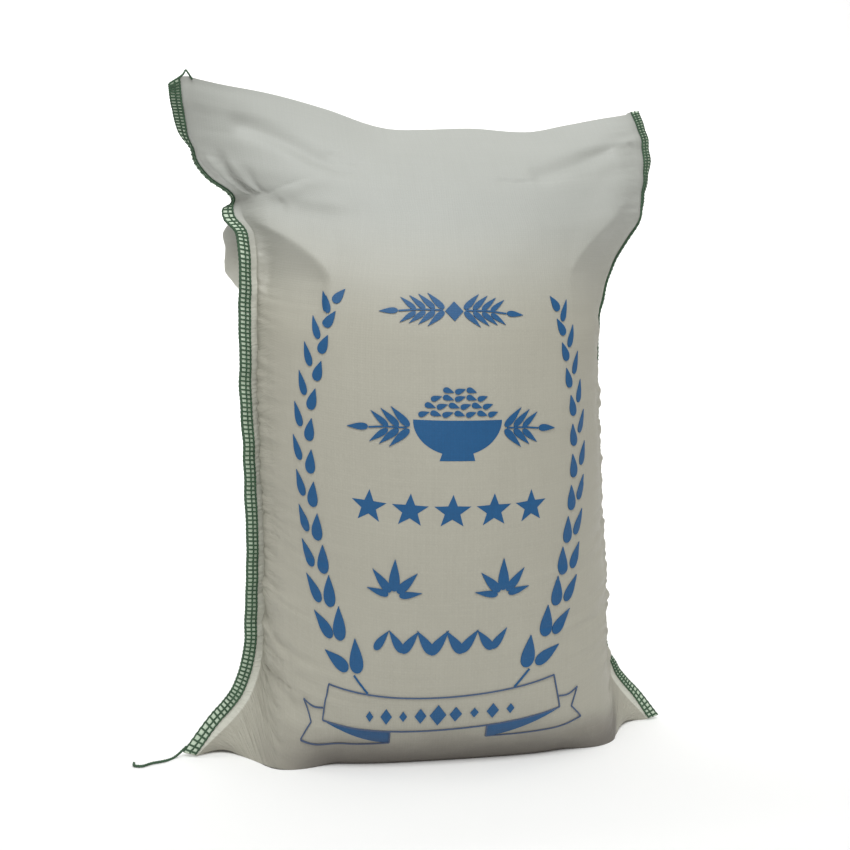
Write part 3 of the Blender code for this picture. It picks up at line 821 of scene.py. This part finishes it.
# %% Rows and columns of the skin
COLUMNS = 148              # of each panel
CROWDING = 0.35            # how much closer together the columns are near the seams
FIN_SHARES = [0.75, 0.5, 0.25, 0.0]  # of the fin's width, in from its edge
SOLE_TOP, SOLE_ROWS, BODY_ROWS = 0.10, 7, 292
ROWS = np.concatenate([
    np.linspace(0.012, SOLE_TOP, SOLE_ROWS, endpoint=False), np.linspace(SOLE_TOP, 1, BODY_ROWS)])
# Inside the mouth: height, and share of the way to the middle between both lips
SLIT = [(1.0, 0.40), (0.992, 0.45), (0.980, 0.55), (0.965, 1.0)]


def spaced(count):
    """u across a panel, closer together near the seams."""
    even = np.linspace(-1, 1, count + 1)
    return mix(even, np.sin(even * math.pi / 2), CROWDING)


FRONT_U = spaced(COLUMNS)
BACK_U = -FRONT_U


def face_columns(v, u, face, squeeze):
    """Rows of points over one panel; squeeze moves them to the middle between both panels."""
    level = v + 0 * u
    across = u + 0 * v
    points = cloth(across, level, face)[0]
    if squeeze:
        points = mix(points, (points + cloth(across, level, -face)[0]) / 2, squeeze)
    return points


def fin_columns(v, side, squeeze):
    """Out along the face of the fin that is met first, and back along the other."""
    steps = [(share, side) for share in FIN_SHARES]
    steps += [(share, -side) for share in reversed(FIN_SHARES)]
    height = HALF_CLOTH * (1 - squeeze)
    rows = [fin_point(v, side, share * fin_reach(v), face * height) for share, face in steps]
    return np.concatenate(rows, axis=1)


def ring(v, squeeze):
    """Rows of points round the sack; squeeze 1 brings the front and the back together."""
    v = np.atleast_1d(v)[:, None]
    return np.concatenate([
        face_columns(v, FRONT_U, 1, squeeze), fin_columns(v, 1, squeeze),
        face_columns(v, BACK_U, -1, squeeze), fin_columns(v, -1, squeeze),
        face_columns(v, FRONT_U[:1], 1, squeeze)], axis=1)


def distance_round():
    """Distance of each column round the tube laid flat, from the front's middle."""
    out = FIN_WIDTH * (1 - np.array(FIN_SHARES))
    fin = np.concatenate([out, 2 * FIN_WIDTH - out[::-1]])
    half_round = 2 * ACROSS + 2 * FIN_WIDTH
    places = [(FRONT_U + 1) * ACROSS, 2 * ACROSS + fin, half_round + (1 - BACK_U) * ACROSS,
              half_round + 2 * ACROSS + fin, [2 * half_round]]
    return np.concatenate(places) - ACROSS


# %% Make the skin
rings = [ring(0.0, 1.0), ring(ROWS, 0.0)] + [ring(v, squeeze) for v, squeeze in SLIT]
points = np.concatenate(rings)
heights = UP * np.concatenate([[0.0], ROWS, [v for v, squeeze in SLIT]])
flat = np.stack(np.broadcast_arrays(distance_round()[None, :], heights[:, None]), axis=-1)
sack_cloth = weld(shaped_grid("sack_cloth", points, flat))
sack_cloth.data.materials.append(CLOTH)
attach(sack_cloth, "root")
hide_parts("sack")
print("sack_cloth:", len(sack_cloth.data.polygons), "faces")

# %% [markdown]
# ## The blue print
# Ink lies on the cloth and follows every fold. Each ornament is drawn flat first: a leaf, a star
# and a diamond are shaped once from a primitive circle and copied, and lines are narrow ribbons.
# The flat drawing is joined and cut by bisecting planes into small pieces, so that it can bend, and
# then each point is carried to the cloth, a fifth of a millimetre above it. A thickness that
# reaches down into the cloth closes each piece of ink. The real print was laid on a little askew,
# and so is this one.

# %% Shapes that repeat, drawn once
PATTERNS, INK_SHAPES, LINE_SHAPES = [], [], []


def pattern(name, outline):
    """A filled shape from a primitive circle whose corners are moved to an outline, in mm."""
    bpy.ops.object.select_all(action="DESELECT")
    bpy.ops.mesh.primitive_circle_add(vertices=len(outline), radius=1, fill_type="NGON")
    shape = bpy.context.object
    shape.name = name
    corners = np.column_stack([outline, np.zeros(len(outline))])
    shape.data.vertices.foreach_set("co", corners.reshape(-1))
    PATTERNS.append(shape)
    return shape


def leaf_outline(count=36):
    """A leaf 1 long and 0.5 wide round its own middle: a round lower end and a point at the top."""
    turn = np.linspace(0, 2 * math.pi, count, endpoint=False)
    height = (1 - np.cos(turn)) / 2
    width = 0.305 * np.sin(turn) * (1 - height ** 2.2) ** 0.35 * (1.15 - 0.75 * height)
    return np.column_stack([width, height - 0.5])


def star_outline(inner=0.42):
    """Five points, with the notches between them at the inner share of their reach."""
    corners = np.arange(10) * math.pi / 5
    reach = np.where(np.arange(10) % 2 == 0, 1.0, inner)
    return np.column_stack([reach * np.sin(corners), reach * np.cos(corners)])


def bowl_outline(half_width=38, depth=33, foot=15, height=38):
    """Half an ellipse under a straight rim, on a short foot."""
    right = np.radians(np.linspace(0, -70, 14))
    left = np.radians(np.linspace(-110, -180, 14))
    sides = [
        np.column_stack([half_width * np.cos(turn), depth * np.sin(turn)])
        for turn in (right, left)]
    return np.concatenate([sides[0], [(foot, -height), (-foot, -height)], sides[1]])


LEAF = pattern("leaf", leaf_outline())
STAR = pattern("star", star_outline())
DIAMOND = pattern("diamond", np.array([(0.5, 0.0), (0.0, 0.5), (-0.5, 0.0), (0.0, -0.5)]))
BOWL = pattern("bowl", bowl_outline())


def stamp(shape, x, y, size, turn=0, wide=1.0):
    """A copy of a shape, with its own mesh, in the drawing; turn is clockwise, in degrees."""
    copy = bpy.data.objects.new(shape.name, shape.data.copy())
    bpy.context.scene.collection.objects.link(copy)
    place = Matrix.Translation((x, y, 0)) @ Matrix.Rotation(-math.radians(turn), 4, "Z")
    copy.data.transform(place @ Matrix.Diagonal((size * wide, size, 1, 1)))
    INK_SHAPES.append(copy)


STROKE_STEP = 3            # mm between the cross rows of a ribbon


def stroke(points, width, into):
    """A narrow ribbon along a smooth line of points, in millimetres."""
    points = np.array(points, dtype=float)
    reach = np.concatenate([[0], np.cumsum(np.hypot(*np.diff(points, axis=0).T))])
    steps = max(2, math.ceil(reach[-1] / STROKE_STEP))
    line = track(np.column_stack([reach, points]), np.linspace(0, reach[-1], steps + 1), swing=True)
    forward = unit(np.gradient(line, axis=0))
    beside = np.column_stack([-forward[:, 1], forward[:, 0]]) * width / 2
    rows = np.stack([line - beside, line + beside])
    flat = np.concatenate([rows, np.zeros((*rows.shape[:2], 1))], axis=2)
    into.append(shaped_grid("stroke", flat, rows))


# %% Wreath
# Height, and how far out the middles of the inner and the outer leaves are there, in mm
WREATH = [
    (198, 70, 95), (225, 90, 110), (250, 102, 121), (285, 112, 130), (340, 123, 138),
    (385, 127, 143.5), (430, 126, 141), (485, 116, 131.5), (512, 111, 123), (541, 103, 114)]
INNER_LEAVES, OUTER_LEAVES = 13, 12
INNER_ROW, OUTER_ROW = (205, 336), (198, 335.5)  # height of the first leaf, and from it to the last
WREATH_SWAY = 7            # how far the leaves in between move off even steps


def make_wreath():
    """Two rows of leaves up both sides. The inner ones lean more higher up, the outer ones less."""
    for number in range(INNER_LEAVES):
        share = number / (INNER_LEAVES - 1)
        height = INNER_ROW[0] + INNER_ROW[1] * share - WREATH_SWAY * math.sin(2 * math.pi * share)
        away = float(track(WREATH, np.array(height), swing=True)[0])
        for side in (-1, 1):
            turn = -side * mix(-5, 34, share ** 2)
            stamp(LEAF, side * away, height, mix(30, 18.5, share), turn, mix(0.88, 0.98, share))
    for number in range(OUTER_LEAVES):
        share = number / (OUTER_LEAVES - 1)
        height = OUTER_ROW[0] + OUTER_ROW[1] * share - WREATH_SWAY * math.sin(2 * math.pi * share)
        away = float(track(WREATH, np.array(height), swing=True)[1])
        lean = 16 + 48 * math.exp(-share / 0.25)
        for side in (-1, 1):
            slim = mix(0.84, 0.62, share)
            stamp(LEAF, side * away, height, mix(27.5, 24, share), side * lean, slim)


make_wreath()
print("wreath:", len(INK_SHAPES), "leaves")


# %% Stars, sprigs, braids, rows of diamonds and ears of grain
def make_row(x, y, gap, sizes, wide=0.8):
    """Diamonds in a row, with their middle at x."""
    for number, size in enumerate(sizes):
        stamp(DIAMOND, x + gap * (number - (len(sizes) - 1) / 2), y, size, 0, wide)


DROOP = 0.10               # how far an ear's tip hangs, as a share of its length
STALK = 1.6                # width of its stalk, mm


def make_ear(x, y, length, side, pairs, size):
    """An ear of grain that grows out to one side from x, y and droops a little."""
    tip = [x + side * length, y - DROOP * length]
    halfway = (x + side * length / 2, y - DROOP / 4 * length)
    stroke([(x - side * 6, y), halfway, tip], STALK, INK_SHAPES)
    for number in range(pairs):
        share = number / pairs
        grain = size * (1 - 0.22 * share)
        lean = mix(48, 38, share)
        away = 1.3 + grain / 2 * math.sin(math.radians(lean))
        for above in (1, -1):
            place = y - DROOP * length * share ** 2 + above * away
            stamp(LEAF, x + side * length * share, place, grain, side * (90 - above * lean), 0.55)
    stamp(LEAF, tip[0] + side * size * 0.42, tip[1] - 0.6, size * 0.8, side * 97, 0.7)


def make_sprig(x, y, size):
    """Five leaves that open like a fan from one point."""
    for turn, share in ((-78, 0.66), (-40, 0.85), (0, 1.0), (40, 0.85), (78, 0.66)):
        angle, away = math.radians(turn), size * (share / 2 + 0.16)
        leaf_x, leaf_y = x + away * math.sin(angle), y + away * math.cos(angle)
        stamp(LEAF, leaf_x, leaf_y, size * share, turn, 0.62)


def make_braid(x, y, gap, count, size):
    """Leaves in a row that lean to the left and to the right in turn."""
    for number in range(count):
        away = number - (count - 1) / 2
        stamp(LEAF, x + gap * away, y, size * (1 - 0.05 * abs(away)), 34 * (-1) ** number, 0.66)


for number in range(-2, 3):
    stamp(STAR, 35.4 * number + 3, 342.5, 16.2)
make_ear(16, 534, 32, 1, 4, 21)
make_ear(-16, 534, 32, -1, 4, 21)
stamp(DIAMOND, 0, 533, 20, 0, 0.8)
for middle in (-43, 49):
    make_sprig(middle, 262, 30)
make_braid(-2, 222, 12.5, 9, 27)
make_row(0, 152.5, 15.5, [10, 15, 10, 15, 21, 15, 10, 15, 10], 0.7)

# %% Bowl of rice between two ears
BOWL_MIDDLE, BOWL_RIM = 5, 428
HEAP = [(7, 6.0), (6, 13.5), (5, 21.0), (3, 28.0)]  # grains in a row, height of the row over the rim
stamp(BOWL, BOWL_MIDDLE, BOWL_RIM, 1)
for level, (count, lift) in enumerate(HEAP):
    for number in range(count):
        across = BOWL_MIDDLE + 9.8 * (number - (count - 1) / 2)
        stamp(LEAF, across, BOWL_RIM + lift, 9.6, 90 + 40 * ((number + level) % 2 - 0.5), 1.1)
make_ear(54, 420, 26, 1, 3, 24)
make_ear(-44, 420, 26, -1, 3, 24)
print("ornaments:", len(INK_SHAPES), "shapes in all")

# %% Ribbon banner
LINE = 1.35                # width of an outline
STEM = 1.9                 # width of the wreath's two stems
TOP_CORNER, LOW_CORNER, FOLD_END = 103.0, 111.5, 43.0
LOWEST = 123.9             # how low the dark undersides reach


def upper_edge(x):
    """Height of the panel's upper edge: it sags between its corners."""
    return 170.2 + 6.2 * (x / TOP_CORNER) ** 2


def lower_edge(x):
    return 136.4 + 7.2 * (x / LOW_CORNER) ** 2


def make_banner():
    """The panel, its two swallow tails, and the dark undersides of its folds."""
    for edge, corner in ((upper_edge, TOP_CORNER), (lower_edge, LOW_CORNER)):
        stroke([(x, edge(x)) for x in np.linspace(-corner, corner, 13)], LINE, LINE_SHAPES)
    for side in (-1, 1):
        tail = [(132.5, 156.6), (125.6, 140.5), (140.0, 126.5)]
        ends = [[(TOP_CORNER, upper_edge(TOP_CORNER)), (LOW_CORNER, lower_edge(LOW_CORNER))],
                [(110, 154.4), (121, 153.2), tail[0]], tail[:2], tail[1:],
                [tail[2], (118, 122.6), (90, 122.4), (FOLD_END, 124.3)],
                [(FOLD_END, 124.3), (FOLD_END, lower_edge(FOLD_END))]]
        for line in ends:
            stroke([(side * x, y) for x, y in line], LINE, LINE_SHAPES)
        stroke([(side * 77, 188), (side * 64, 173.5)], STEM, INK_SHAPES)
        out = np.linspace(LOW_CORNER, FOLD_END, 12)
        share = (out - FOLD_END) / (LOW_CORNER - FOLD_END)
        under = LOWEST + (lower_edge(LOW_CORNER) - LOWEST) * share ** 1.35
        upper_line = np.column_stack([out, lower_edge(out)])
        lower_line = np.column_stack([out, under])
        dark_side = np.concatenate([upper_line, lower_line[:0:-1]])
        stamp(pattern("ribbon_fold", dark_side * (side, 1)), 0, 0, 1)


make_banner()
print("banner:", len(LINE_SHAPES), "lines")

# %% Cut the drawing into small pieces and lay it on the cloth
CELL = 3.0                 # millimetres between two cuts
INK_LIFT = 0.00022         # over the cloth
LINE_LIFT = 1.3 * INK_LIFT
INK_DEPTH = 0.0006         # from the top of the ink down into the cloth


def askew(x, y):
    """From the drawing to the flat cloth: the real print leans and tilts a little."""
    return x - 14.5 + 12 * smooth(140, 540, y), y + x * mix(0.034, 0.004, smooth(140, 340, y))


def turn_up(drawing):
    """Faces that look down are flipped."""
    for face in drawing.data.polygons:
        face.select = face.normal.z < 0
    pick(drawing)
    bpy.ops.object.mode_set(mode="EDIT")
    bpy.ops.mesh.flip_normals()
    done()


def cut_up(drawing):
    """Planes every few millimetres both ways, so that the flat faces can follow the cloth."""
    edit(drawing)
    bpy.ops.mesh.quads_convert_to_tris()
    done()
    corners = np.array([vertex.co for vertex in drawing.data.vertices])
    low, high = corners.min(axis=0), corners.max(axis=0)
    edit(drawing)
    for axis in (0, 1):
        for place in np.arange(low[axis] + CELL / 2, high[axis], CELL):
            spot, direction = [0, 0, 0], [0, 0, 0]
            spot[axis], direction[axis] = place, 1
            bpy.ops.mesh.select_all(action="SELECT")
            bpy.ops.mesh.bisect(plane_co=spot, plane_no=direction)
    done()


def lay_ink(name, shapes, ink, lift):
    """Joined flat shapes, cut up, carried to the front of the cloth and made solid."""
    pick(*shapes)
    bpy.ops.object.join()
    drawing = bpy.context.object
    drawing.name = drawing.data.name = name
    turn_up(drawing)
    cut_up(drawing)
    flat = np.array([vertex.co for vertex in drawing.data.vertices])
    x, y = askew(flat[:, 0], flat[:, 1])
    spots, normals = cloth(x / 1000 / ACROSS, y / 1000 / UP, 1)
    drawing.data.vertices.foreach_set("co", (spots + lift * normals).reshape(-1))
    while drawing.data.uv_layers:
        drawing.data.uv_layers.remove(drawing.data.uv_layers[0])
    layer = drawing.data.uv_layers.new(name="flat_cloth")
    used = np.empty(len(drawing.data.loops), dtype=int)
    drawing.data.loops.foreach_get("vertex_index", used)
    layer.data.foreach_set("uv", np.column_stack([x, y])[used].reshape(-1) / 1000)
    drawing.data.update()
    thick = drawing.modifiers.new("ink_depth", "SOLIDIFY")
    thick.thickness = INK_DEPTH
    thick.offset = -1
    pick(drawing)
    bpy.ops.object.modifier_apply(modifier="ink_depth")
    bpy.ops.object.shade_smooth_by_angle(angle=math.radians(50))
    drawing.data.materials.clear()
    drawing.data.materials.append(ink)
    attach(drawing, "root")
    print(name + ":", len(drawing.data.polygons), "faces")


lay_ink("print_ornaments", INK_SHAPES, INK, INK_LIFT)
lay_ink("print_lines", LINE_SHAPES, THIN_INK, LINE_LIFT)
for shape in PATTERNS:
    bpy.data.objects.remove(shape)

# %% [markdown]
# ## Overlocked seams
# An overlock wraps the cut edge of both layers in thread. Here pale thread lies over the fin as a
# soft binding, and dark green threads run along it and cross it every 4.8 mm, which leaves the
# small pale squares that the real seam shows. The binding is one grid in the shape of a U. A green
# thread is a round curve: one is laid for each crossing, over the face, round the edge and over the
# other face, and six run the whole length.

# %% Thread finishes
STITCH = 0.0048            # from one crossing to the next
THREAD = 0.0009            # radius of a green thread
BINDING = 0.0006           # height of the pale binding over the fin


def thread_finish(name, light, dark, roughness, scale):
    finish = Finish(name, roughness)
    place = finish.node("ShaderNodeTexCoord", {}, {}, 3)
    fibres = finish.noise(place, scale, 3.0)
    patchy_shade = finish.noise(place, scale / 12, 2.0)
    # Painted shade: large random patches make stretches of the thread darker, standing in for shadow
    # on them
    finish.colour(finish.blend(fibres * 0.6 + patchy_shade * 0.5, light, dark))
    finish.normal(finish.bump(fibres, 0.0003, 0.6))
    return finish.material


GREEN_THREAD = thread_finish("green_thread", linear(84, 118, 88), linear(30, 52, 38), 0.8, 900)
PALE_THREAD = thread_finish("pale_thread", linear(222, 233, 215), linear(166, 188, 163), 0.85, 700)

# %% Pale binding
# Distance in from the fin's edge, and share of the binding's height
BINDING_SECTION = [(BAND_WIDTH, 0.35), (0.006, 1.0), (0.003, 1.0), (0.0006, 0.9), (-0.0006, 0.0)]
BINDING_ROWS = 240
BINDING_ROUND = 0.024      # once round the U, for its UV map


def make_binding(name, side):
    """A U of pale thread round the fin's edge, a little thicker between its ends than at them."""
    v = np.linspace(0.001, 1, BINDING_ROWS)[:, None]

    def across(face, section):
        heights = [(inset, face * (HALF_CLOTH + BINDING * share)) for inset, share in section]
        return [fin_point(v, side, inset, height) for inset, height in heights]

    edge = fin_point(v, side, BINDING_SECTION[-1][0], 0 * v)
    outer = across(1, BINDING_SECTION[:-1]) + [edge] + across(-1, BINDING_SECTION[-2::-1])
    inner = [fin_point(v, side, BAND_WIDTH, face * 0.5 * HALF_CLOTH) for face in (-1, 1)]
    points = np.concatenate(outer + inner + outer[:1], axis=1)
    rounds = np.linspace(0, BINDING_ROUND, points.shape[1])[None, :]
    flat = np.stack(np.broadcast_arrays(rounds, v * UP), axis=-1)
    binding = weld(shaped_grid(name, points, flat))
    binding.data.materials.append(PALE_THREAD)
    return binding


# %% Green threads
def lay_threads(name, lines, radius, sides=1):
    """Round threads along lines of points, made one mesh."""
    curve = bpy.data.curves.new(name, "CURVE")
    curve.dimensions = "3D"
    curve.bevel_depth = radius
    curve.bevel_resolution = sides
    curve.use_fill_caps = True
    for line in lines:
        spline = curve.splines.new("POLY")
        spline.points.add(len(line) - 1)
        spline.points.foreach_set("co", np.column_stack([line, np.ones(len(line))]).reshape(-1))
    threads = bpy.data.objects.new(name, curve)
    bpy.context.scene.collection.objects.link(threads)
    pick(threads)
    bpy.ops.object.convert(target="MESH")
    threads = bpy.context.object
    edit(threads)
    bpy.ops.mesh.remove_doubles(threshold=WELD / 2)
    bpy.ops.mesh.select_all(action="SELECT")
    bpy.ops.mesh.normals_make_consistent(inside=False)
    done()
    bpy.ops.object.shade_smooth_by_angle(angle=math.radians(60))
    threads.data.materials.append(GREEN_THREAD)
    return threads


# Distance in from the fin's edge, and how far to its front (1) or its back (-1) face
CROSSING = [
    (0.0100, 1), (0.0075, 1), (0.0050, 1), (0.0025, 1), (0.0003, 0.9), (-0.0008, 0.0),
    (0.0003, -0.9), (0.0025, -1), (0.0050, -1), (0.0075, -1), (0.0100, -1)]
LENGTHWISE = [(0.0098, 1), (0.0049, 1), (-0.0007, 0.4), (-0.0007, -0.4), (0.0049, -1), (0.0098, -1)]
THREAD_POINTS = 720        # along a lengthwise thread
SWAY, HEAVE = 0.00022, 0.00012  # how far it goes sideways and up and down at each stitch


def make_threads(name, side):
    """Dark threads of one overlock: crossings from needle line to needle line, and lines along."""
    height = HALF_CLOTH + BINDING + 0.3 * THREAD
    insets = np.array([inset for inset, face in CROSSING])
    faces = np.array([face for inset, face in CROSSING])
    lean = np.linspace(0, 1, len(CROSSING)) * 0.5 * STITCH / UP
    lines = []
    for v in np.arange(0.003, 0.996, STITCH / UP):
        lines.append(fin_point(v + lean, side, insets, faces * height))
    along = np.linspace(0.001, 1, THREAD_POINTS)
    beat = 2 * math.pi * (along - 0.010) * UP / STITCH
    for inset, face in LENGTHWISE:
        sway = SWAY * np.sin(beat + inset * 900)
        heave = HEAVE * np.cos(beat) if abs(face) == 1 else 0 * along
        lines.append(fin_point(along, side, inset + sway, face * (height + heave)))
    return lay_threads(name, lines, THREAD)


for label, side in (("left", -1), ("right", 1)):
    binding = make_binding(label + "_overlock_binding", side)
    threads = make_threads(label + "_overlock_threads", side)
    for piece in (binding, threads):
        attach(piece, "root")
        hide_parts(label + "_overlock")
        print(piece.name + ":", len(piece.data.polygons), "faces")

# %% [markdown]
# ## The thread's other end
# At the hem the left overlock's threads run over the corner, stand up in a small loop and go down
# again behind the first stitches. Two threads lie side by side along one curve through a few
# given stops.

# %% Loop of thread at the left seam's upper end
# Distance in from the fin's edge, and height over the hem
LOOP_STOPS = [
    (-0.0006, -0.0060), (0.0000, -0.0005), (0.0030, 0.0003), (0.0085, 0.0008), (0.0135, 0.0018),
    (0.0165, 0.0042), (0.0185, 0.0012)]
LOOP_THREAD, LOOP_POINTS = 0.0008, 48

top = np.array(1.0)
up, _, normal = fin_frame(top, -1)
loop = [fin_point(top, -1, inset, 0.0) + rise * up for inset, rise in LOOP_STOPS]
loop.append(bare_face(np.array(-0.985), top, 1) - 0.0015 * up)
marks = np.linspace(0, 1, len(loop))
line = track(np.column_stack([marks, loop]), np.linspace(0, 1, LOOP_POINTS), swing=True)
beside = line + 0.0010 * normal - 0.0004 * up
end_loop = lay_threads("left_thread_loop", [line, beside], LOOP_THREAD, 2)
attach(end_loop, "root")
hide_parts("left_overlock")

# %% [markdown]
# ## The loose thread
# Past its last stitch the left overlock's threads run on as a twisted chain that was cut off by
# hand. It leaves the corner of the ear, lies on the floor and ends in a small hook, nearly 7 cm in
# all. It is limp and 2.4 mm thick. Three strands are twisted round the solid's own route.

# %% Route of the loose thread, as in the solid
CHAIN_ROUTE = [
    (-0.2590, -0.0430), (-0.2680, -0.0530), (-0.2790, -0.0575), (-0.2890, -0.0645),
    (-0.2945, -0.0620), (-0.2960, -0.0540)]
CHAIN_START = 0.008        # height on the flat cloth where it leaves the seam, as a share
CHAIN_STEP = 0.0022        # between the points of its route


def smooth_route(points, step):
    """Evenly spaced points on a smooth curve through a route's own points."""
    points = np.array(points, dtype=float)
    reach = np.concatenate([[0], np.cumsum(np.linalg.norm(np.diff(points, axis=0), axis=1))])
    count = math.ceil(reach[-1] / step)
    return track(np.column_stack([reach, points]), np.linspace(0, reach[-1], count + 1), swing=True)


start_height = np.array(CHAIN_START)
up, _, normal = fin_frame(start_height, -1)
start = fin_point(start_height, -1, -CHAIN_RADIUS - GAP, 0.0) - GAP * up
on_floor = [(x, y, CHAIN_RADIUS + GAP) for x, y in CHAIN_ROUTE]
route = smooth_route([start, start - 0.004 * up + 0.001 * normal] + on_floor, CHAIN_STEP)
length = float(np.linalg.norm(np.diff(route, axis=0), axis=1).sum())
print("loose thread:", round(length * 1000), "mm long,", len(route), "points")

# %% Twisted strands
STRAND = 0.00075           # radius of one strand
STRAND_SWING = 0.00055     # how far its middle runs from the chain's middle
TWIST = 0.008              # length in which a strand goes round once
STRAND_POINTS = 150


def strand_line(phase):
    """One strand's middle, which goes round the route; phase is where on the circle it starts."""
    stations = np.column_stack([np.linspace(0, 1, len(route)), route])
    fine = track(stations, np.linspace(0, 1, STRAND_POINTS), swing=True)
    forward = unit(np.gradient(fine, axis=0))
    beside = unit(np.cross(forward, np.array([0.0, 0.0, 1.0])))
    above = np.cross(beside, forward)
    angle = phase + np.linspace(0, 1, len(fine)) * length / TWIST * 2 * math.pi
    swing = STRAND_SWING * (np.cos(angle)[:, None] * beside + np.sin(angle)[:, None] * above)
    return fine + swing


strands = [strand_line(turn * 2 * math.pi / 3) for turn in range(3)]
thread_tail = lay_threads("thread_tail", strands, STRAND, 1)
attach(thread_tail, "root")
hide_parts("thread_chain")
